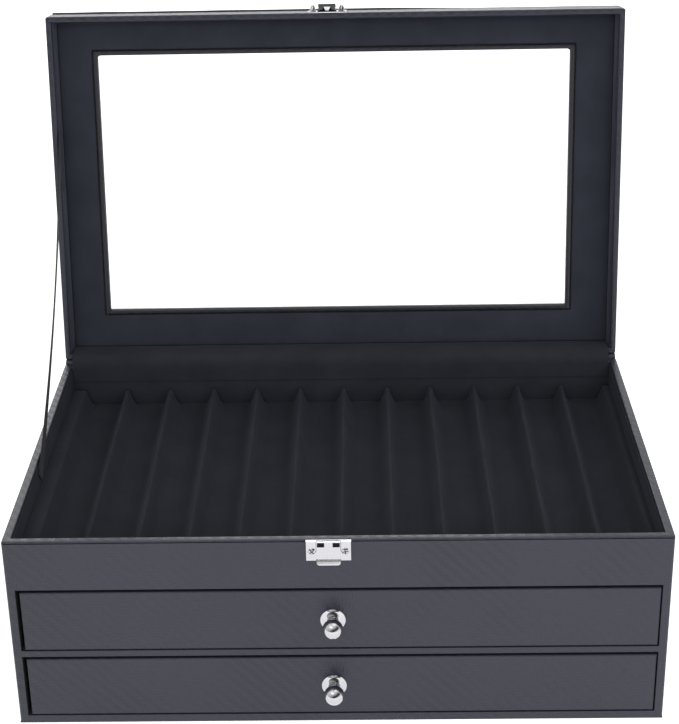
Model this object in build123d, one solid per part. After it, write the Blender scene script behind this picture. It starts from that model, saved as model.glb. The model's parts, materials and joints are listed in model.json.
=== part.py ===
from build123d import *
import os
from math import cos, radians, sin, sqrt

# Pen collector chest: a wrapped board case with a ribbed top tray under a glazed lid, and two ribbed drawers.
# Millimetres. +X right, +Y to the back, +Z up. The origin is the centre of the underside.
# The lid is drawn shut and then swung open about its hinge pins, which is how the chest is stored here.

# Case
case_width = 340.0
case_depth = 210.0
base_thickness = 4.5          # bottom board with its underside sheet
drawer_opening_height = 37.25
shelf_thickness = 3.5         # board between the drawers
tray_board_thickness = 2.75
tray_depth = 25.0             # from the rim down to the tray pad
wall_board = 3.75             # side, back and front boards
cover = 0.75                  # leatherette sheet
rim_cover_height = 1.2        # strip folded over the rim
corner_round = 1.2            # outer upright edges
edge_round = 0.5              # window edges
rim_chamfer = 0.4             # outer edges of the rims
lining = 0.75                 # velvet on the tray walls

# Padded ribs
slot_count = 12
pad = 0.75                    # velvet pad under the ribs
rib_height = 12.6
slot_ledge = 6.25             # padded ledge at each wall of the tray, before the shift
rib_top = 2.6                 # width of a ridge
rib_taper = 0.9               # how much a flank leans out
rib_foot_radius = 6.0
rib_toe = 0.4                 # edge of the padding at the slot's floor
rib_round = 0.9               # top edges
rib_shift = 2.2               # the tray's ribs stand a little to the right
rib_rear_gap = 3.9            # space behind the tray's ribs
rib_side_gap = 0.2

# Drawers
drawer_side_gap = 1.3
drawer_shift = 0.7            # the drawers sit a little to the right in their openings
drawer_floor_gap = 0.35
drawer_top_gap = 1.9
drawer_recess = 0.3           # front set back from the case front
drawer_back_gap = 8.0
drawer_wall_height = 30.0
drawer_side_board = 3.0
drawer_bottom_board = 2.5
drawer_lining = 0.6
drawer_front_round = 0.7

# Knobs
knob_offset = -2.8            # left of the chest's middle
knob_height = 18.0            # above the floor of the drawer opening
knob_ball_radius = 5.3
knob_reach = 9.0              # centre of the ball in front of the drawer
knob_neck_radius = 2.2
knob_collar_radius = 3.3
knob_collar_height = 1.3
rosette_radius = 6.5
rosette_rim = 0.8
rosette_dome = 2.0
knob_screw_radius = 1.5
knob_screw_bite = 5.0
knob_screw_head_radius = 3.0
knob_screw_head = 1.8

# Lid
lid_height = 20.0
lid_wall_board = 2.5
lid_top_board = 2.0
lid_lining = 0.5
lid_panel = 2.0               # velvet frame round the glass
lid_edge_round = 1.2
lid_rim_gap = 0.3             # between the rims when shut
lid_open_angle = 98.5
window_left_border = 27.2     # the window sits a little to the left
window_right_border = 29.7
window_rear_border = 27.4
window_front_border = 24.6
glass_ledge = 3.3             # how far the panel's opening stands back from the window
glass_thickness = 1.8
glass_gap = 0.3

# Hinges
hinge_offset = 2.0            # pin centre behind the case
hinge_spacing = 190.0
hinge_length = 32.0
hinge_leaf_height = 11.0
hinge_leaf = 0.8
hinge_barrel_radius = 1.8
hinge_pin_radius = 0.8
hinge_knuckle_gap = 0.2
running_fit = 0.05            # radial clearance of a pin in a turning part
hinge_screw_spacing = 20.0

# Small screws of the hinges and the latch
screw_radius = 0.9
screw_bite = 2.8              # in the covered board
screw_head_radius = 2.0
screw_head = 0.8
screw_fit = 0.03
screw_slot_width = 0.5
screw_slot_length = 2.4
screw_slot_depth = 0.5

# Snap latch
latch_offset = -4.3           # left of the chest's middle
latch_width = 22.9
latch_height = 11.0
latch_top_gap = 0.0           # below the rim
latch_base = 0.5              # back sheet of the plate
latch_cheek = 1.9             # height of the cheeks off the case
flap_width = 12.2
flap_face = 2.1               # height of the flap's face off the case
flap_thickness = 1.1
flap_head_thickness = 0.8     # thinner part with the windows
flap_drop = 2.0               # the lip reaches this far below the plate
flap_top_gap = 0.15           # between the flap and the plate's top edge
flap_side_gap = 0.2
flap_lip_reach = 1.3
flap_lip_rise = 2.4           # height of the lip's curl
flap_lip_edge = 0.8
flap_lip_round = 1.6          # its lower corners
latch_pin_radius = 0.4
latch_pin_height = 4.8        # above the plate's lower edge
latch_pin_stand = 1.35        # off the case
latch_pin_bite = 0.9          # in each cheek
flap_boss_radius = 0.6
flap_window_bar = 4.2         # bar between the flap's two windows
flap_window_side = 0.35
flap_window_height = 2.6
flap_window_top = 0.45
spring_thickness = 0.2
spring_width = 5.0
spring_gap = 0.02
spring_rise = 3.0             # where it bears on the flap, above the pin
keeper_height = 9.6
keeper_sheet = 0.8
keeper_rim_gap = 0.6
nose_width = 11.6             # at the lid
nose_taper = 0.8              # each side, from the lid to the nose's face
nose_gap = 0.2                # in front of the flap
nose_drop = 4.0               # below the case's rim
nose_rise = 7.2               # above the case's rim
nose_slope = 2.6              # height of its sloped upper end
tooth_reach = 0.7             # into the flap's window
tooth_height = 1.4
tooth_gap = 0.45
web_width = 4.6               # v-shaped web at the nose's outer wall
web_foot = 1.2                # and at the lid
latch_screw_inset = 3.0

# Stay ribbon
ribbon_width = 10.0
ribbon_thickness = 0.5
ribbon_gap = 0.2              # off the linings it is glued to
ribbon_case_y = -23.0
ribbon_case_drop = 8.0        # case end below the rim
ribbon_lid_reach = 139.0      # lid end, from the lid's back
ribbon_lid_depth = 5.0        # lid end, inside the lid's rim

# Strip of lining over the hinge gap
hinge_lining_sheet = 0.5
hinge_lining_glued = 8.0      # on each back wall
hinge_lining_gap = 0.1

# Places worked out from the sizes
front = -case_depth / 2
back = case_depth / 2
half_width = case_width / 2
wall = wall_board + cover
inner_half = half_width - wall
lower_floor = base_thickness
shelf_top = lower_floor + drawer_opening_height + shelf_thickness
tray_board_bottom = shelf_top + drawer_opening_height
tray_board_top = tray_board_bottom + tray_board_thickness
tray_floor_z = tray_board_top + pad
case_height = tray_floor_z + tray_depth
wall_top = case_height - rim_cover_height
tray_half = inner_half - lining
tray_front = front + wall + lining
tray_back = back - wall - lining
slots_half = tray_half - rib_side_gap - slot_ledge
slot_pitch = (2 * slots_half + rib_top) / slot_count

drawer_half = inner_half - drawer_side_gap
drawer_front_y = front + drawer_recess
drawer_box_front = drawer_front_y + wall
drawer_back_y = back - wall - drawer_back_gap
drawer_height = drawer_opening_height - drawer_floor_gap - drawer_top_gap

hinge_y = back + hinge_offset
hinge_axis = Axis((0, hinge_y, case_height), (1, 0, 0))
lid_bottom = case_height + lid_rim_gap
lid_top = lid_bottom + lid_height
lid_wall = lid_wall_board + cover
lid_panel_top = lid_top - cover - lid_top_board
lid_panel_bottom = lid_panel_top - lid_panel
window_x = (window_left_border - half_width, half_width - window_right_border)
window_y = (front + window_front_border, back - window_rear_border)

latch_top = case_height - latch_top_gap
latch_bottom = latch_top - latch_height
latch_pin_z = latch_bottom + latch_pin_height
latch_pin_y = front - latch_pin_stand
flap_top = latch_top - flap_top_gap
flap_bottom = latch_bottom - flap_drop
flap_half = flap_width / 2
nose_inside = flap_face + nose_gap
nose_face = nose_inside + keeper_sheet
keeper_bottom = lid_bottom + keeper_rim_gap


def block(x, y, z):
    """A box given by its limits along X, Y and Z."""
    middle = [(low + high) / 2 for low, high in (x, y, z)]
    return Pos(*middle) * Box(x[1] - x[0], y[1] - y[0], z[1] - z[0])


def widened(limits, margin):
    """Limits moved apart by a margin at each end."""
    low, high = limits
    return (low - margin, high + margin)


def rod_x(radius, x, y, z):
    """A round bar along X between two limits."""
    return Pos((x[0] + x[1]) / 2, y, z) * Rot(0, 90, 0) * Cylinder(radius, x[1] - x[0])


def rod_y(radius, x, y, z):
    """A round bar along Y between two limits."""
    return Pos(x, (y[0] + y[1]) / 2, z) * Rot(90, 0, 0) * Cylinder(radius, y[1] - y[0])


def upright_edges(solid):
    return solid.edges().filter_by(Axis.Z)


def edges_at_height(solid, z):
    return solid.edges().filter_by_position(Axis.Z, z - 0.01, z + 0.01)


def ring(half_x, y, z, thickness):
    """Four upright walls, measured outside, with an open top and bottom."""
    outer = block((-half_x, half_x), y, z)
    inner_y = (y[0] + thickness, y[1] - thickness)
    return outer - block((thickness - half_x, half_x - thickness), inner_y, z)


# Screws and the holes they sit in

def screw(place, sheet, face, inward):
    """A pan-head screw along Y at (x, z), through a metal sheet on a face, inward (+1 or -1) into the board."""
    x, z = place
    tip = face + inward * screw_bite
    face -= inward * sheet
    top = face - inward * screw_head
    shank = rod_y(screw_radius, x, sorted((face, tip)), z)
    head = rod_y(screw_head_radius, x, sorted((face, top)), z)
    rim = head.edges().filter_by(GeomType.CIRCLE).filter_by_position(Axis.Y, top - 0.01, top + 0.01)
    head = chamfer(rim, screw_head / 2)
    slot_y = sorted((top, top + inward * screw_slot_depth))
    half_long, half_short = screw_slot_length / 2, screw_slot_width / 2
    for half_x, half_z in ((half_long, half_short), (half_short, half_long)):
        head -= block((x - half_x, x + half_x), slot_y, (z - half_z, z + half_z))
    return head + shank


def screws(places, sheet, face, inward):
    return Compound([screw(place, sheet, face, inward) for place in places])


def screw_holes(places, face, inward):
    """Cutters for the shanks, from outside the face to just past the tips."""
    reach = sorted((face - inward * screw_bite, face + inward * (screw_bite + screw_fit)))
    return [rod_y(screw_radius + screw_fit, x, reach, z) for x, z in places]


def hinge_screw_places(z):
    half = hinge_screw_spacing / 2
    centres = (-hinge_spacing / 2, hinge_spacing / 2)
    return [(centre + side, z) for centre in centres for side in (-half, half)]


def hinge_case_screw_places():
    return hinge_screw_places(case_height - hinge_leaf_height * 0.6)


def hinge_lid_screw_places():
    return hinge_screw_places(case_height + hinge_leaf_height * 0.6)


def latch_screw_places():
    inset = latch_width / 2 - latch_screw_inset
    z = (latch_top + latch_bottom) / 2
    return [(latch_offset + side * inset, z) for side in (-1, 1)]


def keeper_screw_places():
    inset = latch_width / 2 - latch_screw_inset
    z = keeper_bottom + keeper_height / 2
    return [(latch_offset + side * inset, z) for side in (-1, 1)]


# Case boards, coverings and linings

def case_boards():
    board_half = half_width - cover
    board_y = (front + cover, back - cover)
    wall_z = (base_thickness, wall_top)
    inside = (-inner_half, inner_half)
    inside_y = (front + cover, back - wall)
    back_board = block(inside, (back - wall, back - cover), wall_z)
    fascia = block(inside, (front + cover, front + wall), (tray_board_bottom, wall_top))
    return {
        "base_cover": block((-half_width, half_width), (front, back), (0, cover)),
        "case_bottom": block((-board_half, board_half), board_y, (cover, base_thickness)),
        "case_side_left": block((-board_half, -inner_half), board_y, wall_z),
        "case_side_right": block((inner_half, board_half), board_y, wall_z),
        "case_back": back_board - screw_holes(hinge_case_screw_places(), back, -1),
        "front_fascia": fascia - screw_holes(latch_screw_places(), front, 1),
        "drawer_shelf": block(inside, inside_y, (shelf_top - shelf_thickness, shelf_top)),
        "tray_floor": block(inside, (front + wall, back - wall), (tray_board_bottom, tray_board_top)),
    }


def case_covers():
    """One wrapped sheet with rounded upright corners, parted into the front and the rest, and the rim strip."""
    sheet = fillet(upright_edges(block((-half_width, half_width), (front, back), (cover, wall_top))), corner_round)
    sheet -= block((cover - half_width, half_width - cover), (front + cover, back - cover), (cover, wall_top))
    front_part = block((-half_width, half_width), (front, front + cover), (cover, wall_top))
    front_sheet = sheet & front_part
    for floor in (lower_floor, shelf_top):
        opening_z = (floor, floor + drawer_opening_height)
        front_sheet -= block((-inner_half, inner_half), (front, front + cover), opening_z)
    front_sheet -= screw_holes(latch_screw_places(), front, 1)
    round_sheet = sheet - front_part - screw_holes(hinge_case_screw_places(), back, -1)
    rim = fillet(upright_edges(block((-half_width, half_width), (front, back), (wall_top, case_height))),
                 corner_round)
    rim = chamfer(edges_at_height(rim, case_height), rim_chamfer)
    rim -= block((-inner_half, inner_half), (front + wall, back - wall), (wall_top, case_height))
    return {"outer_cover": round_sheet, "front_cover": front_sheet, "rim_cover": rim}


def rib_side(side, half_top, faces_slot):
    """The lines down the left (-1) or right (+1) side of a rib: concave to a slot, straight at a wall."""
    top = (side * half_top, rib_height)
    if not faces_slot:
        return [Line(top, (side * half_top, 0))]
    shoulder = half_top + rib_taper
    foot = shoulder + rib_foot_radius
    bend = rib_foot_radius / sqrt(2)
    arc_top = rib_toe + rib_foot_radius
    arc = ThreePointArc(
        (side * shoulder, arc_top),
        (side * (foot - bend), arc_top - bend),
        (side * foot, rib_toe),
    )
    return [Line(top, arc @ 0), arc, Line(arc @ 1, (side * foot, 0))]


def rib(width, slot_left, slot_right, y):
    """A padded rib standing on z = 0, given the width of its top and which of its sides face a slot."""
    left = rib_side(-1, width / 2, slot_left)
    right = rib_side(1, width / 2, slot_right)
    outline = left + right + [Line(left[0] @ 0, right[0] @ 0), Line(left[-1] @ 1, right[-1] @ 1)]
    solid = Pos(0, y[1], 0) * extrude(Plane.XZ * make_face(outline), y[1] - y[0])
    tops = edges_at_height(solid, rib_height).filter_by(Axis.Y).sort_by(Axis.X)
    ridges = [edge for edge, slot in zip(tops, (slot_left, slot_right)) if slot]
    return fillet(ridges, rib_round)


def rib_set(half, shift, y, z):
    """Ribs across a tray with the given inner half width: ridges between the slots and a ledge at each wall."""
    first = shift - (slot_count - 2) / 2 * slot_pitch
    ridge = rib(rib_top, True, True, y)
    ridges = [Pos(first + n * slot_pitch, 0, z) * ridge for n in range(slot_count - 1)]
    ledge_end = half - rib_side_gap
    left_top = ledge_end - slots_half + shift
    right_top = ledge_end - slots_half - shift
    left = Pos(left_top / 2 - ledge_end, 0, z) * rib(left_top, False, True, y)
    right = Pos(ledge_end - right_top / 2, 0, z) * rib(right_top, True, False, y)
    return Compound([left, *ridges, right])


def tray_parts():
    liner = ring(inner_half, (front + wall, back - wall), (tray_board_top, wall_top), lining)
    pad_sheet = block((-tray_half, tray_half), (tray_front, tray_back), (tray_board_top, tray_floor_z))
    ribs_y = (tray_front + rib_side_gap, tray_back - rib_rear_gap)
    ribs = rib_set(tray_half, rib_shift, ribs_y, tray_floor_z)
    return {"tray_lining": liner, "tray_pad": pad_sheet, "tray_ribs": ribs}


# Drawers

def drawer_front(floor):
    """The wrapped front board, bored and counterbored for the knob's screw, and its covering sheet."""
    z = (floor + drawer_floor_gap, floor + drawer_floor_gap + drawer_height)
    x = (-drawer_half, drawer_half)
    outer = block(x, (drawer_front_y, drawer_box_front), z)
    face_edges = outer.edges().filter_by_position(Axis.Y, drawer_front_y - 0.01, drawer_front_y + 0.01)
    outer = fillet(face_edges, drawer_front_round)
    board = block((x[0] + cover, x[1] - cover), (drawer_front_y + cover, drawer_box_front),
                  (z[0] + cover, z[1] - cover))
    sheet = outer - board
    knob_x, knob_z = knob_offset - drawer_shift, floor + knob_height
    shank = rod_y(knob_screw_radius + screw_fit, knob_x, (drawer_front_y, drawer_box_front), knob_z)
    seat_y = (drawer_box_front - knob_screw_head - screw_fit, drawer_box_front)
    seat = rod_y(knob_screw_head_radius + screw_fit, knob_x, seat_y, knob_z)
    return {"front_board": board - shank - seat, "cover": sheet - shank}


def drawer_box(floor):
    base = floor + drawer_floor_gap
    z_top = base + drawer_wall_height
    bottom_top = base + drawer_bottom_board
    inner = drawer_half - drawer_side_board
    y = (drawer_box_front, drawer_back_y)
    side = block((inner, drawer_half), y, (bottom_top, z_top))
    lining_y = (drawer_box_front, drawer_back_y - drawer_side_board)
    clear_half = inner - drawer_lining
    clear_y = (lining_y[0] + drawer_lining, lining_y[1] - drawer_lining)
    pad_top = bottom_top + pad
    ribs_y = (clear_y[0] + rib_side_gap, clear_y[1] - rib_side_gap)
    return {
        "bottom": block((-drawer_half, drawer_half), y, (base, bottom_top)),
        "sides": Compound([mirror(side, Plane.YZ), side]),
        "back": block((-inner, inner), (drawer_back_y - drawer_side_board, drawer_back_y), (bottom_top, z_top)),
        "lining": ring(inner, lining_y, (bottom_top, z_top), drawer_lining),
        "pad": block((-clear_half, clear_half), clear_y, (bottom_top, pad_top)),
        "ribs": rib_set(clear_half, 0, ribs_y, pad_top),
    }


def turned(profile):
    """A turned piece from (radius, reach) lines and arcs, standing out of a drawer front along -Y."""
    return revolve(make_face(profile), Axis.Y)


def knob_parts(floor):
    """Dished rosette, ball knob on a collar and neck, and the screw from inside."""
    place = Pos(knob_offset - drawer_shift, drawer_front_y, floor + knob_height)
    bore = knob_screw_radius + screw_fit
    crown = (knob_collar_radius + screw_fit, -rosette_dome)
    dish_middle = ((rosette_radius + crown[0]) / 2, -rosette_rim - (rosette_dome - rosette_rim) * 0.3)
    rosette = turned([
        Line((bore, 0), (rosette_radius, 0)),
        Line((rosette_radius, 0), (rosette_radius, -rosette_rim)),
        ThreePointArc((rosette_radius, -rosette_rim), dish_middle, crown),
        Line(crown, (bore, -rosette_dome)),
        Line((bore, -rosette_dome), (bore, 0)),
    ])
    collar_top = -rosette_dome - knob_collar_height
    root = -knob_reach + sqrt(knob_ball_radius ** 2 - knob_neck_radius ** 2)
    bite = -rosette_dome - knob_screw_bite
    knob = turned([
        Line((bore, -rosette_dome), (knob_collar_radius, -rosette_dome)),
        Line((knob_collar_radius, -rosette_dome), (knob_collar_radius, collar_top)),
        Line((knob_collar_radius, collar_top), (knob_neck_radius, collar_top)),
        Line((knob_neck_radius, collar_top), (knob_neck_radius, root)),
        ThreePointArc((knob_neck_radius, root), (knob_ball_radius, -knob_reach),
                      (0, -knob_reach - knob_ball_radius)),
        Line((0, -knob_reach - knob_ball_radius), (0, bite)),
        Line((0, bite), (bore, bite)),
        Line((bore, bite), (bore, -rosette_dome)),
    ])
    head_y = wall - knob_screw_head
    shank = rod_y(knob_screw_radius, 0, (bite + screw_fit, head_y), 0)
    head = rod_y(knob_screw_head_radius, 0, (head_y, wall), 0)
    return {"knob": place * knob, "rosette": place * rosette, "knob_screw": place * (shank + head)}


def drawer(name, floor):
    pieces = {**drawer_front(floor), **drawer_box(floor), **knob_parts(floor)}
    return {f"{name}_{piece}": Pos(drawer_shift, 0, 0) * shape for piece, shape in pieces.items()}


# Lid, drawn shut

def lid_boards():
    outer_half = half_width - cover
    inner = half_width - lid_wall
    rail_z = (lid_bottom + rim_cover_height, lid_top - cover - lid_top_board)
    outer_y = (front + cover, back - cover)
    front_y = (outer_y[0], front + lid_wall)
    rear_y = (back - lid_wall, outer_y[1])
    front_rail = block((-outer_half, outer_half), front_y, rail_z)
    rear_rail = block((-outer_half, outer_half), rear_y, rail_z)
    side_y = (front_y[1], rear_y[0])
    top = block((-outer_half, outer_half), outer_y, (rail_z[1], lid_top - cover))
    window = block(widened(window_x, cover), widened(window_y, cover), (rail_z[1], lid_top))
    return {
        "lid_front_rail": front_rail - screw_holes(keeper_screw_places(), front, 1),
        "lid_rear_rail": rear_rail - screw_holes(hinge_lid_screw_places(), back, -1),
        "lid_side_rails": Compound([block((-outer_half, -inner), side_y, rail_z),
                                    block((inner, outer_half), side_y, rail_z)]),
        "lid_top_board": top - window,
    }


def lid_covers():
    """The sheet over the lid, turned into the window, and the strip folded over the rim."""
    x, y = (-half_width, half_width), (front, back)
    strip_top = lid_bottom + rim_cover_height
    shell = fillet(upright_edges(block(x, y, (strip_top, lid_top))), corner_round)
    shell = fillet(edges_at_height(shell, lid_top), lid_edge_round)
    inner_x, inner_y = (x[0] + cover, x[1] - cover), (y[0] + cover, y[1] - cover)
    shell -= block(inner_x, inner_y, (strip_top, lid_top - cover))
    shell += block(widened(window_x, cover), widened(window_y, cover), (lid_panel_top, lid_top - cover))
    shell -= block(window_x, window_y, (lid_panel_top, lid_top))
    lip = edges_at_height(shell, lid_top)
    lip = lip.filter_by_position(Axis.X, *widened(window_x, 1)).filter_by_position(Axis.Y, *widened(window_y, 1))
    shell = fillet(lip, edge_round)
    shell -= screw_holes(keeper_screw_places(), front, 1)
    shell -= screw_holes(hinge_lid_screw_places(), back, -1)
    strip = fillet(upright_edges(block(x, y, (lid_bottom, strip_top))), corner_round)
    strip = chamfer(edges_at_height(strip, lid_bottom), rim_chamfer)
    strip -= block((x[0] + lid_wall, x[1] - lid_wall), (y[0] + lid_wall, y[1] - lid_wall), (lid_bottom, strip_top))
    return {"lid_cover": shell, "lid_rim_cover": strip}


def lid_insides():
    inner = half_width - lid_wall
    inner_y = (front + lid_wall, back - lid_wall)
    liner = ring(inner, inner_y, (lid_bottom + rim_cover_height, lid_panel_top), lid_lining)
    clear = inner - lid_lining
    clear_y = (inner_y[0] + lid_lining, inner_y[1] - lid_lining)
    hole_x, hole_y = widened(window_x, glass_ledge), widened(window_y, glass_ledge)
    panel = block((-clear, clear), clear_y, (lid_panel_bottom, lid_panel_top))
    panel -= block(hole_x, hole_y, (lid_panel_bottom, lid_panel_top))
    glass_z = (lid_panel_top - glass_thickness, lid_panel_top)
    glass = block(widened(hole_x, -glass_gap), widened(hole_y, -glass_gap), glass_z)
    return {"lid_wall_lining": liner, "lid_lining_panel": panel, "lid_glass": glass}


# Hinges

def hinge_leaf_pair(side):
    """Both leaves of one butt hinge: the case leaf has the two outer knuckles, the lid leaf the middle one."""
    middle = side * hinge_spacing / 2
    ends = (middle - hinge_length / 2, middle + hinge_length / 2)
    third = hinge_length / 3
    inner = (ends[0] + third, ends[1] - third)
    outer_runs = ((ends[0], inner[0] - hinge_knuckle_gap), (inner[1] + hinge_knuckle_gap, ends[1]))
    leaf_y = (back, back + hinge_leaf)
    lower = block(ends, leaf_y, (case_height - hinge_leaf_height, case_height - lid_rim_gap))
    upper = block(ends, leaf_y, (lid_bottom, case_height + hinge_leaf_height))
    clear_radius = hinge_barrel_radius + hinge_knuckle_gap
    inner_clear = (inner[0] - hinge_knuckle_gap, inner[1] + hinge_knuckle_gap)
    lower -= rod_x(clear_radius, inner_clear, hinge_y, case_height)
    for run in outer_runs:
        reach = (run[0] - hinge_knuckle_gap, run[1] + hinge_knuckle_gap)
        upper -= rod_x(clear_radius, reach, hinge_y, case_height)
        lower += rod_x(hinge_barrel_radius, run, hinge_y, case_height)
    upper += rod_x(hinge_barrel_radius, inner, hinge_y, case_height)
    lower -= rod_x(hinge_pin_radius + screw_fit, ends, hinge_y, case_height)
    upper -= rod_x(hinge_pin_radius + running_fit, ends, hinge_y, case_height)
    lower -= screw_holes(hinge_case_screw_places(), back, -1)
    upper -= screw_holes(hinge_lid_screw_places(), back, -1)
    return lower, upper, rod_x(hinge_pin_radius, ends, hinge_y, case_height)


def hinges():
    left, right = hinge_leaf_pair(-1), hinge_leaf_pair(1)
    return {
        "hinge_case_leaves": Compound([left[0], right[0]]),
        "hinge_lid_leaves": Compound([left[1], right[1]]),
        "hinge_pins": Compound([left[2], right[2]]),
        "hinge_case_screws": screws(hinge_case_screw_places(), hinge_leaf, back, -1),
        "hinge_lid_screws": screws(hinge_lid_screw_places(), hinge_leaf, back, -1),
    }


# Snap latch: places along Y are given as heights off the case's front

def off_front(low, high):
    return (front - high, front - low)


def latch_x(half_low, half_high, side=1):
    """Limits along X at one side of the latch's middle, or across it when half_low is minus half_high."""
    return sorted((latch_offset + side * half_low, latch_offset + side * half_high))


def side_profile(points, half):
    """A prism across the latch from (height off the case, z) points."""
    outline = Polyline(*[(0, front - off, z) for off, z in points], close=True)
    return Pos(latch_offset - half, 0, 0) * extrude(make_face(outline), 2 * half, dir=(1, 0, 0))


def plan_profile(points, z):
    """A prism along Z from (distance from the latch's middle, height off the case) points."""
    outline = Polyline(*[(latch_offset + x, front - off, z[0]) for x, off in points], close=True)
    return extrude(make_face(outline), z[1] - z[0], dir=(0, 0, 1))


def latch_plate():
    z = (latch_bottom, latch_top)
    half = latch_width / 2
    inner = flap_half + flap_side_gap
    plate = block(latch_x(-half, half), off_front(0, latch_base), z)
    sill = latch_pin_z + flap_boss_radius
    plate -= block(latch_x(-inner, inner), off_front(0, latch_base), (sill, latch_top - flap_side_gap))
    for side in (-1, 1):
        cheek = block(latch_x(inner, half, side), off_front(latch_base, latch_cheek), z)
        outer_x = latch_offset + side * half
        face = cheek.edges().filter_by_position(Axis.X, outer_x - 0.01, outer_x + 0.01)
        rim = face.filter_by_position(Axis.Y, front - latch_cheek - 0.01, front - latch_cheek + 0.01)
        plate += fillet(rim, screw_head / 2)
    reach = inner + latch_pin_bite + screw_fit
    plate -= rod_x(latch_pin_radius + screw_fit, latch_x(-reach, reach), latch_pin_y, latch_pin_z)
    return plate - [rod_y(screw_radius + screw_fit, x, off_front(0, latch_cheek), z)
                    for x, z in latch_screw_places()]


def latch_flap():
    """Cast flap on its pin: thin head with two windows, thicker tail, curled finger lip."""
    tail, head = flap_face - flap_thickness, flap_face - flap_head_thickness
    curl_top, lip = flap_bottom + flap_lip_rise, flap_face + flap_lip_reach
    flap = side_profile([
        (tail, latch_pin_z),
        (tail, curl_top),
        (flap_face - flap_thickness * 0.3, flap_bottom + flap_lip_rise * 0.35),
        (lip, flap_bottom),
        (lip, flap_bottom + flap_lip_edge),
        (flap_face + flap_lip_reach * 0.3, flap_bottom + flap_lip_rise * 0.6),
        (flap_face, curl_top + flap_lip_edge / 2),
        (flap_face, flap_top),
        (head, flap_top),
        (head, latch_pin_z),
    ], flap_half)
    flap += rod_x(flap_boss_radius, latch_x(-flap_half, flap_half), latch_pin_y, latch_pin_z)
    frame = block(latch_x(-flap_half, flap_half), off_front(0, lip), (flap_bottom, flap_top))
    lower = frame.edges().filter_by(Axis.Y).filter_by_position(Axis.Z, flap_bottom - 0.01, flap_bottom + 0.01)
    flap &= fillet(lower, flap_lip_round)
    window_z = (flap_top - flap_window_top - flap_window_height, flap_top - flap_window_top)
    for side in (-1, 1):
        window_x = latch_x(flap_window_bar / 2, flap_half - flap_window_side, side)
        flap -= block(window_x, off_front(head, flap_face), window_z)
    bore = latch_pin_radius + running_fit
    return flap - rod_x(bore, latch_x(-flap_half, flap_half), latch_pin_y, latch_pin_z)


def latch_spring():
    """Leaf behind the flap, flat on the plate and bent out to bear on the flap's head."""
    flat = latch_base + spring_gap
    tip = flap_face - flap_head_thickness - spring_gap
    bend_z = latch_pin_z + flap_boss_radius
    return side_profile([
        (flat, latch_bottom + spring_thickness),
        (flat, bend_z),
        (tip - spring_thickness, latch_pin_z + spring_rise),
        (tip, latch_pin_z + spring_rise),
        (flat + spring_thickness, bend_z),
        (flat + spring_thickness, latch_bottom + spring_thickness),
    ], spring_width / 2)


def keeper():
    """Plate on the lid with a pressed, hollow nose whose two teeth drop into the flap's windows."""
    plate_z = (keeper_bottom, keeper_bottom + keeper_height)
    half = latch_width / 2
    plate = block(latch_x(-half, half), off_front(0, keeper_sheet), plate_z)
    low, high = case_height - nose_drop, case_height + nose_rise
    root, face_half = nose_width / 2, nose_width / 2 - nose_taper
    outer = plan_profile([(-root, 0), (root, 0), (face_half, nose_face), (-face_half, nose_face)], (low, high))
    outer &= side_profile([
        (0, keeper_bottom), (nose_inside, keeper_bottom), (nose_inside, low), (nose_face, low),
        (nose_face, high - nose_slope), (0, high),
    ], root)
    hollow_root, hollow_face = root - keeper_sheet, face_half - keeper_sheet
    hollow = plan_profile([(-hollow_root, 0), (hollow_root, 0), (hollow_face, nose_inside),
                           (-hollow_face, nose_inside)], (keeper_bottom, high))
    hollow &= side_profile([
        (keeper_sheet, keeper_bottom), (nose_inside, keeper_bottom),
        (nose_inside, high - nose_slope - keeper_sheet), (keeper_sheet, high - 2 * keeper_sheet),
    ], root)
    body = plate + outer - hollow
    tooth_z = flap_top - flap_window_top - flap_window_height / 2
    for side in (-1, 1):
        tooth_x = latch_x(flap_window_bar / 2 + tooth_gap, face_half - tooth_gap / 2, side)
        body += block(tooth_x, off_front(flap_face - tooth_reach, nose_inside),
                      (tooth_z - tooth_height / 2, tooth_z + tooth_height / 2))
    body += plan_profile([(-web_foot / 2, keeper_sheet), (web_foot / 2, keeper_sheet),
                          (web_width / 2, nose_inside), (-web_width / 2, nose_inside)],
                         (keeper_bottom, keeper_bottom + keeper_sheet))
    return body - [rod_y(screw_radius + screw_fit, x, off_front(0, keeper_sheet), z)
                   for x, z in keeper_screw_places()]


def latch_parts():
    reach = flap_half + flap_side_gap + latch_pin_bite
    return {
        "latch_plate": latch_plate(),
        "latch_flap": latch_flap(),
        "latch_pin": rod_x(latch_pin_radius, latch_x(-reach, reach), latch_pin_y, latch_pin_z),
        "latch_spring": latch_spring(),
        "latch_screws": screws(latch_screw_places(), latch_cheek, front, 1),
    }


# Stay ribbon and the strip of lining that hides the hinge gap

def opened_point(x, y, z):
    """Where a point of the shut lid comes to when the lid is open."""
    return Vertex(x, y, z).rotate(hinge_axis, -lid_open_angle).center()


def stay_ribbon():
    """A flat ribbon on edge, stretched from the tray's left lining to the open lid's left lining."""
    case_end = Vector(ribbon_gap + ribbon_thickness / 2 - tray_half, ribbon_case_y, case_height - ribbon_case_drop)
    lid_x = ribbon_gap + ribbon_thickness / 2 - (half_width - lid_wall - lid_lining)
    lid_end = opened_point(lid_x, back - ribbon_lid_reach, lid_bottom + ribbon_lid_depth)
    run = lid_end - case_end
    across = Vector(0, -run.Z, run.Y)
    place = Plane(origin=(case_end + lid_end) / 2, x_dir=run, z_dir=run.cross(across))
    return place * Box(run.length, ribbon_width, ribbon_thickness)


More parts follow.
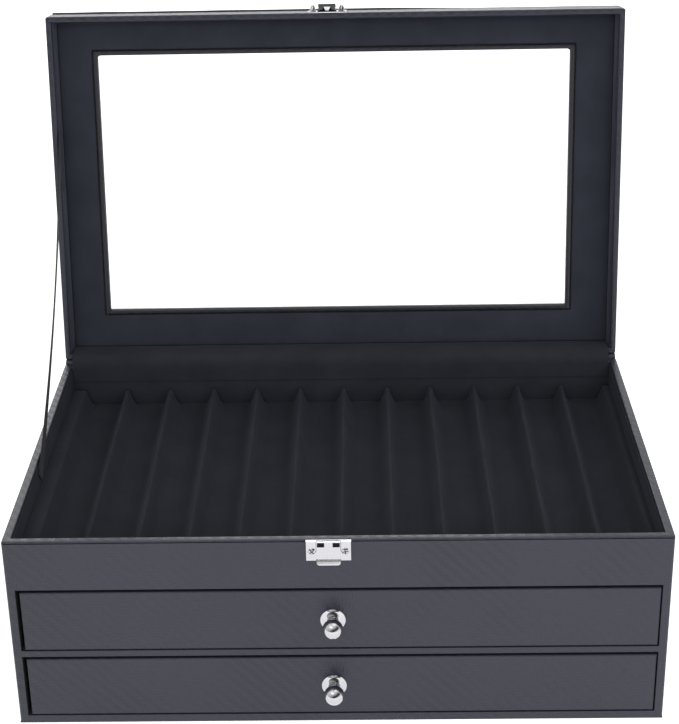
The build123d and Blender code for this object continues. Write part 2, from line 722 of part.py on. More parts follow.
def hinge_lining():
    """A velvet strip glued inside both back walls and stretched over the gap between the rims."""
    half = tray_half - hinge_lining_gap
    near = tray_back - hinge_lining_gap
    lid_face = back - lid_wall - lid_lining - hinge_lining_gap
    lid_start = opened_point(0, lid_face, lid_bottom)
    lid_end = opened_point(0, lid_face, lid_bottom + hinge_lining_glued)
    path = [
        (near, case_height - rim_cover_height - hinge_lining_glued),
        (near, case_height),
        (lid_start.Y, lid_start.Z),
        (lid_end.Y, lid_end.Z),
    ]
    middle = Polyline(*[(-half, y, z) for y, z in path])
    strip = offset(middle, hinge_lining_sheet, kind=Kind.INTERSECTION, side=Side.LEFT)
    return extrude(make_face(strip), 2 * half, dir=(1, 0, 0))


def lid_parts():
    shut = {**lid_boards(), **lid_covers(), **lid_insides(), "keeper": keeper(),
            "keeper_screws": screws(keeper_screw_places(), keeper_sheet, front, 1)}
    hinge_parts = hinges()
    for name in ("hinge_lid_leaves", "hinge_lid_screws"):
        shut[name] = hinge_parts.pop(name)
    opened = {name: shape.rotate(hinge_axis, -lid_open_angle) for name, shape in shut.items()}
    return {**opened, **hinge_parts}


def chest():
    return {
        **case_boards(),
        **case_covers(),
        **tray_parts(),
        **drawer("upper_drawer", shelf_top),
        **drawer("lower_drawer", lower_floor),
        **lid_parts(),
        **latch_parts(),
        "stay_ribbon": stay_ribbon(),
        "hinge_lining": hinge_lining(),
    }


os.makedirs("parts", exist_ok=True)
for node, shape in chest().items():
    export_step(shape, f"parts/{node}.step")
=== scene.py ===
import json
from math import cos, pi, radians, sin

import bmesh
import bpy
from mathutils import Matrix, Vector, noise


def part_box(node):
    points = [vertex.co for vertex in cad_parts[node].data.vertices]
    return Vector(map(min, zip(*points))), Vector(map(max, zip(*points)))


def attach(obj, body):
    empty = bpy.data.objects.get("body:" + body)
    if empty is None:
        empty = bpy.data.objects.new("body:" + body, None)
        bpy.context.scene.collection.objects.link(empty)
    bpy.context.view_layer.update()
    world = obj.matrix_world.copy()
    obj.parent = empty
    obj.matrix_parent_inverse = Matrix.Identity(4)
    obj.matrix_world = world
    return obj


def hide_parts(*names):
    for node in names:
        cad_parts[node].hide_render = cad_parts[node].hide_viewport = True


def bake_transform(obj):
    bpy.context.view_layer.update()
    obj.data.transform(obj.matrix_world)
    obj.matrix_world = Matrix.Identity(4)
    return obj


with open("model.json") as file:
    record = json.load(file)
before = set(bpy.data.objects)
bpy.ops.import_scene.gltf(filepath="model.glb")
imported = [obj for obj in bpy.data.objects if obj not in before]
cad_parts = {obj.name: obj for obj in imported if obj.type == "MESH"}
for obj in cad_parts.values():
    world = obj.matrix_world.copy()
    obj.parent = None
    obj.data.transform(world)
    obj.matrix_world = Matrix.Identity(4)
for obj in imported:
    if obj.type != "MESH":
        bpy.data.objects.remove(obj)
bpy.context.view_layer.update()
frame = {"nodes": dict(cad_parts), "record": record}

# Pen collector chest: materials, padding, ribbon, small details, camera and light.
# Metres, in the frame of the CAD model: +X right, +Y to the back, +Z up.
# Heights on the lid are given with the lid shut, and open_lid() turns what is drawn there to the open lid.
# Names with GRAIN are noise frequencies, per metre.

MM = 0.001
nodes = frame["nodes"]

# Case and lid
CASE_FRONT, CASE_BACK = -105 * MM, 105 * MM
CASE_SIDE = 170 * MM
CASE_WALL = 4.5 * MM
LID_WALL = 3.25 * MM
LID_BOTTOM = 111.3 * MM
LID_TOP = 131.3 * MM
LID_ANGLE = radians(98.5)         # open angle, about the hinge axis
HINGE_Y, HINGE_Z = 107 * MM, 111 * MM
WINDOW_X = (-142.8 * MM, 140.3 * MM)
WINDOW_Y = (-80.4 * MM, 77.6 * MM)
GLASS_INSIDE = 126.75 * MM        # inner face of the pane

# Padded ribs and floor of a tray
SLOTS = 12
SLOT_PITCH = 26.6 * MM
TRAY_SHIFT = 2.2 * MM             # the top tray's slots lie right of the middle
CREST = 1.2 * MM                  # half the width of a ridge's crest
CREST_DROP = 0.9 * MM             # how round the crest is
CREST_STEPS = 4
RIDGE_FLANK = 7.0 * MM            # from the crest's side to the floor
RIDGE_HOLLOW = 2.3                # how hollow the flank is
FLANK_STEPS = 10
FLANK_SPREAD = 1.4                # above 1, the steps lie closer near the crest
FLOOR_DIP = 0.15 * MM             # the floor sinks a little between the ridges
FLOOR_DIP_REACH = 0.1             # half the width of that dip, as a share of the pitch
LEDGE_DIP = 0.5 * MM              # the ledge at a wall falls towards it
# A rib's soft end: distance from its end, and share of its height
RIB_END = ((0.0, 0.0), (0.15 * MM, 0.6), (0.5 * MM, 0.82), (1.2 * MM, 0.95), (2.4 * MM, 1.0))
RIB_ROWS = 40
RIB_END_CLEAR = 3 * MM
PADDING_DRIFT = 0.5 * MM          # unevenness of the padding
DRIFT_GRAIN = (28, 16, 50)
SETTLE_GRAIN = (50, 24)
SETTLE_PLANE = 9.0                # the noise is read in this plane, away from the drift's

# Linings
LINING_STEP = 12 * MM
LINING_GRAIN = 40
WELD = 1e-6                       # vertices closer than this are one
FINE_WELD = 1e-7
FLAT_TURN = 0.01                  # faces that turn less than this are one plane, in radians
LINING_SHARP = 0.6                # edges that turn more than this are rounded

# Rims and window bead
RIM_HEIGHT = 1.2 * MM
RIM_ROUND = 0.7 * MM              # radius of both folds
RIM_GROOVE = ((0.9 * MM, 0.0), (0.85 * MM, 0.3 * MM), (0.25 * MM, 0.36 * MM))    # (inset, height)
RIM_CORNER = 1.2 * MM
RIM_CORNER_LEAST = 0.1 * MM
RIM_WAVE = 0.1 * MM
FOLD_STEPS = 5
CORNER_STEPS = 6
SIDE_STEPS = 40
BAND_GRAIN = 55
BEAD_WIDTH = 2.7 * MM
BEAD_HEIGHT = 0.9 * MM
BEAD_OFF = 0.02 * MM              # between the pane and the bead's foot
BEAD_CORNER = 0.4 * MM
BEAD_FLARE = 0.7                  # how fast the corners' radius grows towards the window
BEAD_FULLNESS = 0.7               # below 1, the section is fuller than a half ellipse
BEAD_LAST_CORNER = 2.2 * MM       # at the window's edge
BEAD_WAVE = 0.06 * MM
BEAD_STEPS = 10

# Ribbon, and the cloth over the hinge gap
RIBBON_WIDTH = 10 * MM
RIBBON_THICKNESS = 0.5 * MM
RIBBON_BOW = 2.2 * MM
RIBBON_TURN = radians(8)
RIBBON_TUCK = 0.7                 # its ends lie inside the node's box by this share of half its width
RIBBON_STEPS = 48
EDGE_SHARE = 0.25                 # depth of the ribbon's rounded edge, as a share of half its thickness
HINGE_CLOTH = 0.5 * MM
CLOTH_RIPPLE = 0.12 * MM
RIPPLE_GRAIN = (60, 90)           # across and along the strip
BEND_STEPS = 8
STRIP_COLUMNS = 60
STRIP_RIM = 0.6 * MM              # the strip leaves the case's wall this far below the hinge
STRIP_ON_LID = 7.6 * MM           # length glued to the lid's wall
TAB_COLUMNS = 8
TAB_NEAR, TAB_FAR = 0.4 * MM, 11 * MM    # from the case's side
TAB_GLUED = 5 * MM                # how far the tab reaches from each rim
TAB_RIM = 0.5 * MM                # the tab leaves each back wall this far from its rim

# Clasp
LATCH_X = -4.3 * MM
SCREW_HEAD, SCREW_HEAD_RADIUS = 0.8 * MM, 2.0 * MM    # of the CAD model's screws
HEAD_RADIUS = 1.95 * MM           # domed heads with a cross recess
HEAD_RINGS = 16
HEAD_SIDES = 56
HEAD_SPREAD = 1.3                 # above 1, the rings lie closer near the edge
HEAD_DOME = 3.2                   # a higher number is a flatter top
HEAD_FOOT = 0.2 * MM              # part of the head behind the sheet's face
CROSS_ARM = 1.35 * MM
CROSS_WIDTH = 0.42 * MM
CROSS_DEPTH = 0.5 * MM
CROSS_RIM = (0.92, 0.75)          # below 1, the faces painted dark as shade reach past the recess
LATCH_HEAD, LATCH_TURNS = 0.85 * MM, (0.75, 0.2)      # height of the heads, and each cross's turn
KEEPER_HEAD, KEEPER_TURNS = 3.3 * MM, (0.4, 1.1)
KEEPER_SHEET = 0.8 * MM
KEEPER_Z = 111.9 * MM             # lower edge of the keeper
KEEPER_HEIGHT = 9.6 * MM
KEEPER_SHARP = 0.5                # edges that turn more than this are rounded
KEEPER_ROUND = 0.12 * MM
NOSE_HALF = 5.0 * MM
NOSE_STRETCH = 2.1                # the pressed nose stands this much higher than in the CAD model
NOSE_FOOT = 0.05 * MM             # what stands out less than this belongs to the sheet
HOLLOW_TIP = 0.3 * MM             # the nose's tip and root keep the bright plating, free of painted shade, over these depths
HOLLOW_ROOT = 0.02 * MM
WEB = (-0.1 * MM, 0.9 * MM)       # the web at the lower edge keeps the bright plating, free of painted shade, from KEEPER_Z

# Folded edge of the lid's top sheet, over the lid's front
SEAM_HEIGHT = 0.95 * MM
SEAM_LEAST = 0.15 * MM
SEAM_END = 0.75                   # share of the width at which it has flattened
SEAM_FADE = 6                     # how fast it flattens
SEAM_HALF = 0.55 * MM
SEAM_DROP = 1.7 * MM              # its middle, below the lid's top
SEAM_INSET = 1.4 * MM
SEAM_WAVE = 0.12 * MM
SEAM_GRAIN = 40
SEAM_STEPS = 80
SEAM_SIDES = 12

# Finishes
FACING = 0.6                      # a face looks along an axis if its normal has this much of it
TWILL_PITCH = 1.8 * MM
TWILL_REPEAT = 4.0                # over two yarns and under two
PU_FRONT = (42, 43, 54)

# Camera, light and surroundings
PHOTO_SIZE = (679, 724)
FOCAL_PIXELS = 1680.61
CENTRE_PIXELS = (330.0, 320.0)
SENSOR = 36.0
CAMERA_PLACE = (0.01365, -0.83336, 0.55428)
YAW, PITCH, ROLL = radians(-1.17), radians(23.87), radians(-1.16)
LAMPS = (                         # name, place, target, size, watts, whether plated metal mirrors it
    ("key", (-0.6, -1.0, 1.5), (0, 0, 0.1), (1.2, 0.8), 2.6, True),
    ("side", (1.1, -0.5, 1.1), (0, 0, 0.1), (1.0, 0.8), 4.5, False),
    ("top", (0.3, 0.1, 1.7), (0, 0, 0.1), (1.4, 1.0), 2.5, True),
    ("front", (0.1, -1.9, 0.9), (0, 0, 0.15), (1.6, 1.0), 18.0, False),
    ("back", (-0.25, 2.2, 1.05), (0, 0.1, 0.25), (1.6, 0.9), 11.0, True),
)
FILL_LIGHT = 0.32
ROOM_TILT = 0.28                  # the dim end of the room leans to one side
ROOM_DIM = 0.93                   # share of the white that the dim end takes away
FLOOR_HALF = 6.0
FLOOR_DROP = 0.2 * MM
FLOOR_GLOW = 0.8


# Node trees

class Tree:
    """A material's or the world's node tree, built by short calls."""

    def __init__(self, owner):
        owner.use_nodes = True
        self.nodes = owner.node_tree.nodes
        self.links = owner.node_tree.links
        self.nodes.clear()

    def add(self, kind, inputs=None, **settings):
        """A node with its settings; an input is a value, or the output that feeds it."""
        node = self.nodes.new(kind)
        for name, value in settings.items():
            setattr(node, name, value)
        for socket, value in (inputs or {}).items():
            if isinstance(value, bpy.types.NodeSocket):
                self.links.new(value, node.inputs[socket])
            else:
                node.inputs[socket].default_value = value
        return node

    def math(self, operation, a, b=0.0, c=0.0):
        return self.add("ShaderNodeMath", {0: a, 1: b, 2: c}, operation=operation).outputs[0]

    def mix(self, factor, a, b):
        """Colour a where the factor is 0 and b where it is 1."""
        return self.add("ShaderNodeMix", {0: factor, 6: a, 7: b}, data_type="RGBA").outputs[2]

    def ramp(self, factor, low, high):
        """Factor from low to high becomes 0 to 1, clamped."""
        inputs = {0: factor, 1: low, 2: high, 3: 0.0, 4: 1.0}
        return self.add("ShaderNodeMapRange", inputs).outputs[0]

    def noise(self, vector, scale, detail=2.0, roughness=0.5):
        inputs = {"Vector": vector, "Scale": scale, "Detail": detail, "Roughness": roughness}
        return self.add("ShaderNodeTexNoise", inputs).outputs[0]

    def bump(self, height, distance, strength=1.0, normal=None):
        inputs = {"Height": height, "Distance": distance, "Strength": strength}
        if normal is not None:
            inputs["Normal"] = normal
        return self.add("ShaderNodeBump", inputs).outputs[0]

    def place(self):
        """Coordinates along the object's own axes."""
        return self.add("ShaderNodeTexCoord").outputs["Object"]


def srgb(*levels):
    """A colour given as 0 to 255 levels of a picture, as the linear colour that a shader takes."""
    linear = [((v / 255 + 0.055) / 1.055) ** 2.4 if v > 10 else v / 255 / 12.92 for v in levels]
    return (*linear, 1.0)


def tinted(colour, red, green, blue):
    """The colour with each channel multiplied."""
    return (colour[0] * red, colour[1] * green, colour[2] * blue, 1.0)


def shaded(colour, share):
    """The colour at a share of its brightness."""
    return tinted(colour, share, share, share)


def material(name):
    """A new material and its empty tree."""
    made = bpy.data.materials.new(name)
    return made, Tree(made)


def surface(tree, **inputs):
    """The shader at the end of a tree; its sockets' names are written with _ for a space."""
    sockets = {key.replace("_", " "): value for key, value in inputs.items()}
    shader = tree.add("ShaderNodeBsdfPrincipled", sockets)
    tree.add("ShaderNodeOutputMaterial", {"Surface": shader.outputs[0]})


def face_plane(tree):
    """Two coordinates along the face, from the object's own axes: x and z in front, y and z at the side."""
    place = tree.add("ShaderNodeSeparateXYZ", {0: tree.place()})
    true_normal = tree.add("ShaderNodeNewGeometry").outputs["True Normal"]
    normal = tree.add("ShaderNodeSeparateXYZ", {0: true_normal})
    x, y, z = place.outputs
    sideways = tree.math("GREATER_THAN", tree.math("ABSOLUTE", normal.outputs[0]), FACING)
    level = tree.math("GREATER_THAN", tree.math("ABSOLUTE", normal.outputs[2]), FACING)
    u = tree.add("ShaderNodeMix", {0: sideways, 2: x, 3: y}).outputs[0]
    v = tree.add("ShaderNodeMix", {0: level, 2: z, 3: y}).outputs[0]
    return u, v


def twill(tree, u, v):
    """Height of a woven twill, 0 to 1, and 1 where the second of its two sets of yarns lies on top."""
    across = tree.math("DIVIDE", u, TWILL_PITCH)
    along = tree.math("DIVIDE", v, TWILL_PITCH)
    column = tree.math("FLOOR", across)
    row = tree.math("FLOOR", along)
    phase = tree.math("FLOORED_MODULO", tree.math("ADD", column, row), TWILL_REPEAT)
    over = tree.math("LESS_THAN", phase, TWILL_REPEAT / 2)
    round_u = tree.math("SINE", tree.math("MULTIPLY", tree.math("FRACT", across), pi))
    round_v = tree.math("SINE", tree.math("MULTIPLY", tree.math("FRACT", along), pi))
    return tree.add("ShaderNodeMix", {0: over, 2: round_u, 3: round_v}).outputs[0], over


def leatherette(name, colour):
    """Embossed, slightly glossy leatherette: a diagonal twill with one set of yarns painted paler as a
    painted highlight, and a faint mottle in colour and gloss.
    """
    made, tree = material(name)
    u, v = face_plane(tree)
    weave, over = twill(tree, u, v)
    place = tree.place()
    cloudy = tree.noise(place, scale=16.0, detail=3.0)
    tint = tree.noise(place, scale=34.0)
    grain = tree.noise(place, scale=2600.0)
    pale = tinted(colour, 1.2, 1.24, 1.24)
    violet = tinted(colour, 1.16, 1.0, 1.16)
    base = tree.mix(tree.ramp(cloudy, 0.3, 0.7), shaded(colour, 0.78), pale)
    base = tree.mix(tree.math("MULTIPLY", tree.ramp(tint, 0.45, 0.65), 0.5), base, violet)
    # painted highlight: the yarns that lie on top are painted paler
    base = tree.mix(tree.math("MULTIPLY", over, 0.8), base, pale)
    gloss = tree.math("ADD", tree.math("MULTIPLY", cloudy, 0.14), tree.math("MULTIPLY", over, 0.1))
    emboss = tree.bump(weave, distance=0.12 * MM, strength=0.7)
    fine = tree.bump(grain, distance=0.02 * MM, strength=0.5, normal=emboss)
    surface(tree, Base_Color=base, Roughness=tree.math("ADD", gloss, 0.28), Normal=fine,
            Specular_IOR_Level=0.42, Coat_Weight=0.08, Coat_Roughness=0.3)
    return made


def velvet(name, colour, sheen):
    """Short dark pile: soft mottling where it lies differently, and a pale sheen at grazing angles."""
    made, tree = material(name)
    place = tree.place()
    patches = tree.noise(place, scale=45.0, detail=3.0, roughness=0.6)
    pile = tree.noise(place, scale=3200.0)
    dark = shaded(colour, 0.78)
    base = tree.mix(tree.ramp(patches, 0.35, 0.7), dark, colour)
    base = tree.mix(tree.math("MULTIPLY", pile, 0.3), base, dark)
    lie = tree.bump(patches, distance=0.5 * MM, strength=0.5)
    normal = tree.bump(pile, distance=0.12 * MM, strength=0.7, normal=lie)
    surface(tree, Base_Color=base, Roughness=0.95, Normal=normal, Specular_IOR_Level=0.12,
            Sheen_Weight=sheen, Sheen_Roughness=0.4, Sheen_Tint=(0.75, 0.8, 1.0, 1.0))
    return made


def satin(name, colour):
    """Woven ribbon: fine cross ribs and a soft gloss."""
    made, tree = material(name)
    place = tree.place()
    ribs = tree.add("ShaderNodeTexWave", {"Vector": place, "Scale": 420.0, "Distortion": 0.6},
                    wave_type="BANDS", bands_direction="Z").outputs[1]
    base = tree.mix(tree.noise(place, scale=60.0), shaded(colour, 0.6), colour)
    surface(tree, Base_Color=base, Roughness=0.42, Normal=tree.bump(ribs, distance=0.06 * MM, strength=0.6),
            Specular_IOR_Level=0.3, Sheen_Weight=0.08)
    return made


def plating(name, colour, roughness):
    """Polished plating with the slight unevenness and wiping marks of a small cast or pressed piece."""
    made, tree = material(name)
    place = tree.place()
    waves = tree.noise(place, scale=420.0)
    wipes = tree.noise(place, scale=1500.0, detail=4.0, roughness=0.7)
    base = tree.mix(tree.ramp(wipes, 0.35, 0.75), shaded(colour, 0.9), colour)
    rough = tree.math("ADD", tree.math("MULTIPLY", wipes, roughness), roughness * 0.5)
    surface(tree, Base_Color=base, Metallic=1.0, Roughness=rough,
            Normal=tree.bump(waves, distance=0.03 * MM, strength=0.5))
    return made


def fibreboard(name, colour):
    """Board under dark paper: fine felted fibres and a few paler specks."""
    made, tree = material(name)
    place = tree.place()
    stretched = tree.add("ShaderNodeMapping", {0: place, 3: (1.0, 1.0, 6.0)}).outputs[0]
    fibres = tree.noise(stretched, scale=900.0, detail=5.0, roughness=0.7)
    specks = tree.ramp(tree.noise(place, scale=1400.0, detail=1.0), 0.62, 0.7)
    base = tree.mix(fibres, shaded(colour, 0.7), colour)
    base = tree.mix(tree.math("MULTIPLY", specks, 0.5), base, srgb(70, 66, 64))
    surface(tree, Base_Color=base, Roughness=0.85, Normal=tree.bump(fibres, distance=0.1 * MM, strength=0.5))
    return made


def clear_glass(name):
    """Thin clear pane that lets light and shadow rays through and keeps a faint, slightly uneven gloss."""
    made, tree = material(name)
    waves = tree.noise(tree.place(), scale=30.0)
    surface(tree, Base_Color=(0.98, 1.0, 0.99, 1.0), Roughness=tree.math("MULTIPLY", waves, 0.02),
            Normal=tree.bump(waves, distance=0.02 * MM, strength=0.3), Transmission_Weight=1.0, IOR=1.02,
            Alpha=0.12)
    return made


finishes = {
    "leatherette": leatherette("leatherette", srgb(*PU_FRONT)),
    "velvet": velvet("velvet", srgb(50, 51, 57), 0.03),
    # the lid's velvet is the tray's cloth painted lighter: painted light on the lid's lining
    "lid_velvet_painted_light": velvet("lid_velvet_painted_light", srgb(57, 60, 69), 0.12),
    "ribbon": satin("satin_ribbon", srgb(24, 24, 30)),
    # trim: the same leatherette painted darker, as painted shade on the window bead and the lid's folded
    # edge
    "trim": leatherette("leatherette_painted_shade", srgb(33, 33, 39)),
    "glass": clear_glass("clear_glass"),
    # recess: dark plating put into sunk crosses and hollows, as painted shade
    "recess": plating("recess_painted_shade", (0.1, 0.1, 0.105, 1.0), 0.5),
    "chrome": plating("bright_plating", (0.55, 0.545, 0.565, 1.0), 0.08),
    "steel": plating("dull_zinc", (0.58, 0.58, 0.6, 1.0), 0.3),
    "board": fibreboard("dark_board", srgb(46, 44, 44)),
}


def dress_nodes():
    """Every CAD node gets the finish of its own material slot."""
    slots = {part["node"]: part["material_slot"] for part in frame["record"]["subparts"]}
    for name, node in nodes.items():
        node.data.materials.clear()
        node.data.materials.append(finishes[slots[name]])


# Mesh helpers

def new_piece(name, mesh, finish, body):
    """Links a bmesh as a smooth piece of the chest, in a finish; a piece with no body is left unattached."""
    data = bpy.data.meshes.new(name)
    mesh.to_mesh(data)
    mesh.free()
    for face in data.polygons:
        face.use_smooth = True
    data.set_sharp_from_angle(angle=radians(50))
    piece = bpy.data.objects.new(name, data)
    bpy.context.scene.collection.objects.link(piece)
    data.materials.append(finishes[finish])
    if body:
        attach(piece, body)
    return piece


def grid_mesh(rows, closed=False):
    """A surface through rows of points, all as long; closed joins the last row to the first."""
    mesh = bmesh.new()
    made = [[mesh.verts.new(point) for point in row] for row in rows]
    if closed:
        made.append(made[0])
    for near, far in zip(made, made[1:]):
        for n in range(len(near) - 1):
            mesh.faces.new((near[n], near[n + 1], far[n + 1], far[n]))
    return mesh


def fill_holes(mesh):
    """Closes the open ends of a mesh and turns its faces outward."""
    ends = [edge for edge in mesh.edges if edge.is_boundary]
    bmesh.ops.holes_fill(mesh, edges=ends, sides=0)
    bmesh.ops.recalc_face_normals(mesh, faces=mesh.faces)


def sharp_edges(mesh, turn):
    return [edge for edge in mesh.edges if len(edge.link_faces) == 2 and edge.calc_face_angle() > turn]


def cut_large_faces(mesh):
    """Triangles for the faces with more than four corners."""
    bmesh.ops.triangulate(mesh, faces=[face for face in mesh.faces if len(face.verts) > 4])


def thick_strip(centres, across, normals, width, thickness):
    """A flat band along a line of centres, with its edges rounded, as one closed mesh."""
    half, side = width / 2, thickness / 2
    shoulder = half - side * EDGE_SHARE
    section = [(-half, 0), (-shoulder, side), (-half / 2, side), (0, side), (half / 2, side),
               (shoulder, side), (half, 0), (shoulder, -side), (half / 2, -side), (0, -side),
               (-half / 2, -side), (-shoulder, -side)]
    rows = []
    for centre, out, normal in zip(centres, across, normals):
        ring = [centre + out * u + normal * v for u, v in section]
        rows.append(ring + ring[:1])
    mesh = grid_mesh(rows)
    bmesh.ops.remove_doubles(mesh, verts=mesh.verts, dist=FINE_WELD)
    fill_holes(mesh)
    return mesh


def open_lid():
    """The turn that carries what is drawn on the shut lid to the open one."""
    hinge = Vector((0, HINGE_Y, HINGE_Z))
    turn = Matrix.Rotation(-LID_ANGLE, 4, "X")
    return Matrix.Translation(hinge) @ turn @ Matrix.Translation(-hinge)


# Padding: the velvet-covered ribs and floor of each tray, as one soft surface

def ridge_height(distance, full):
    """Height of the padding at a distance from the middle of a ridge: a round crest and hollow flanks."""
    if distance <= CREST:
        return full - CREST_DROP * (distance / CREST) ** 2
    share = min(1.0, (distance - CREST) / RIDGE_FLANK)
    return (full - CREST_DROP) * (1 - share) ** RIDGE_HOLLOW


def across_slots(low, high, full, shift):
    """(x, height) points across a tray from wall to wall, close together where the section bends."""
    middle = (low + high) / 2 + shift
    steps = [CREST * n / CREST_STEPS for n in range(CREST_STEPS + 1)]
    steps += [CREST + RIDGE_FLANK * (n / FLANK_STEPS) ** FLANK_SPREAD for n in range(1, FLANK_STEPS + 1)]
    points = []
    for n in range(SLOTS - 1):
        ridge = middle + (n - (SLOTS - 2) / 2) * SLOT_PITCH
        for step in steps:
            height = ridge_height(step, full)
            points += [(ridge - step, height), (ridge + step, height)]
    dip = SLOT_PITCH * FLOOR_DIP_REACH
    for n in range(SLOTS):
        floor = middle + (n - (SLOTS - 1) / 2) * SLOT_PITCH
        points += [(floor - dip, 0.0), (floor, -FLOOR_DIP), (floor + dip, 0.0)]
    for wall, inward in ((low, 1), (high, -1)):
        crest = middle - inward * SLOTS / 2 * SLOT_PITCH
        points.append((wall, full - LEDGE_DIP))
        points.append(((wall + crest) / 2, full))
        points += [(crest + inward * step, ridge_height(step, full)) for step in steps]
    return sorted(set(points))


def along_slots(front, back, low, high):
    """(y, share of the height) points from the front of a tray's floor to its back, past soft rib ends."""
    rows = [low + (high - low) * n / RIB_ROWS for n in range(1, RIB_ROWS)]
    points = [(front, 0.0)] + [(low + step, share) for step, share in RIB_END]
    points += [(y, 1.0) for y in rows if low + RIB_END_CLEAR < y < high - RIB_END_CLEAR]
    points += [(high - step, share) for step, share in reversed(RIB_END)] + [(back, 0.0)]
    return points


def add_padding(name, ribs, pad, body, shift):
    """Padded ribs and floor in one velvet surface, a little uneven as hand-glued padding is."""
    low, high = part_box(ribs)
    floor_low, floor_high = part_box(pad)
    full = high.z - low.z
    columns = across_slots(low.x, high.x, full, shift)
    grain_x, grain_y, grain_z = DRIFT_GRAIN
    rows = []
    for y, share in along_slots(floor_low.y, floor_high.y, low.y, high.y):
        row = []
        for x, height in columns:
            drift = noise.noise(Vector((x * grain_x, y * grain_y, low.z * grain_z))) * PADDING_DRIFT
            settle_at = Vector((x * SETTLE_GRAIN[0], y * SETTLE_GRAIN[1], SETTLE_PLANE))
            settle = min(noise.noise(settle_at) * PADDING_DRIFT, 0)
            raised = max(0.0, min(1.0, height / full))
            row.append(Vector((x + drift * raised, y, low.z + height * share + settle * raised)))
        rows.append(row)
    skirt_front = [Vector((p.x, p.y, floor_low.z)) for p in rows[0]]
    skirt_back = [Vector((p.x, p.y, floor_low.z)) for p in rows[-1]]
    mesh = grid_mesh([skirt_front, *rows, skirt_back])
    bmesh.ops.recalc_face_normals(mesh, faces=mesh.faces)
    piece = new_piece(name, mesh, "velvet", body)
    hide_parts(ribs, pad)


# Linings: velvet on card, with soft edges

def slice_finely(mesh, low, high):
    """Cuts a mesh along planes across each axis, about LINING_STEP apart."""
    for axis in range(3):
        normal = Vector((axis == 0, axis == 1, axis == 2))
        steps = int((high[axis] - low[axis]) / LINING_STEP)
        for n in range(1, steps):
            place = normal * (low[axis] + n * (high[axis] - low[axis]) / steps)
            bmesh.ops.bisect_plane(mesh, geom=mesh.verts[:] + mesh.edges[:] + mesh.faces[:],
                                   plane_co=place, plane_no=normal)


def soft_copy(node, name, body, edge, wave, finish="velvet"):
    """A velvet lining from its node, with sharp edges rounded and faces cut fine and slightly uneven."""
    mesh = bmesh.new()
    mesh.from_mesh(nodes[node].data)
    bmesh.ops.remove_doubles(mesh, verts=mesh.verts, dist=WELD)
    bmesh.ops.dissolve_limit(mesh, angle_limit=FLAT_TURN, verts=mesh.verts, edges=mesh.edges)
    bmesh.ops.bevel(mesh, geom=sharp_edges(mesh, LINING_SHARP), offset=edge, segments=2, profile=0.5,
                    affect="EDGES")
    cut_large_faces(mesh)
    slice_finely(mesh, *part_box(node))
    mesh.normal_update()
    moves = [(v, v.normal * (noise.noise(v.co * LINING_GRAIN) * wave - wave)) for v in mesh.verts]
    for vertex, move in moves:
        vertex.co += move
    piece = new_piece(name, mesh, finish, body)
    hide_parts(node)


# Rims and window bead: sheet folded round an edge, so rounded and a little wavy

def outline(x, y, radius):
    """Points round a rectangle with rounded corners, as many whatever its size."""
    centres = [(x[1] - radius, y[0] + radius), (x[1] - radius, y[1] - radius),
               (x[0] + radius, y[1] - radius), (x[0] + radius, y[0] + radius)]
    arcs = []
    for n, (cx, cy) in enumerate(centres):
        start = (n - 1) * pi / 2
        angles = [start + step * pi / (2 * CORNER_STEPS) for step in range(CORNER_STEPS + 1)]
        arcs.append([Vector((cx + cos(a) * radius, cy + sin(a) * radius, 0)) for a in angles])
    points = []
    for arc, following in zip(arcs, arcs[1:] + arcs[:1]):
        points += arc
        points += [arc[-1].lerp(following[0], step / SIDE_STEPS) for step in range(1, SIDE_STEPS)]
    return points + points[:1]


def add_band(name, x, y, section, place, finish, body, wave):
    """A band round a rectangle: section is (inset, corner radius, z) points, place a matrix or None."""
    rows = []
    for inset, radius, z in section:
        row = outline((x[0] + inset, x[1] - inset), (y[0] + inset, y[1] - inset), radius)
        drift = [noise.noise(point * BAND_GRAIN) * wave for point in row]
        rows.append([point + Vector((0, 0, z + more)) for point, more in zip(row, drift)])
    mesh = grid_mesh(rows, closed=True)
    bmesh.ops.remove_doubles(mesh, verts=mesh.verts, dist=FINE_WELD)
    bmesh.ops.recalc_face_normals(mesh, faces=mesh.faces)
    if place:
        bmesh.ops.transform(mesh, matrix=place, verts=mesh.verts)
    return new_piece(name, mesh, finish, body)


def rim_section(board, base, sign):
    """Section of a strip folded over a board's edge: a groove under it, its corners rounded."""
    angles = [step * pi / (2 * FOLD_STEPS) for step in range(FOLD_STEPS + 1)]
    points = list(RIM_GROOVE)
    points += [(RIM_ROUND * (1 - cos(a)), RIM_HEIGHT - RIM_ROUND * (1 - sin(a))) for a in angles]
    points += [(board - RIM_ROUND * (1 - sin(a)), RIM_HEIGHT - RIM_ROUND * (1 - cos(a))) for a in angles]
    points.append((board, 0.0))
    return [(inset, max(RIM_CORNER - inset, RIM_CORNER_LEAST), base + sign * rise) for inset, rise in points]


def add_rims():
    """Folded strips on the case's rim and on the lid's."""
    low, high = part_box("rim_cover")
    x, y = (low.x, high.x), (low.y, high.y)
    case_rim = add_band("case_rim", x, y, rim_section(CASE_WALL, high.z - RIM_HEIGHT, 1), None,
                        "leatherette", "case", RIM_WAVE)
    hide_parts("rim_cover")
    lid_rim = add_band("lid_rim", x, y, rim_section(LID_WALL, LID_BOTTOM + RIM_HEIGHT, -1), open_lid(),
                       "leatherette", "lid", RIM_WAVE)
    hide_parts("lid_rim_cover")


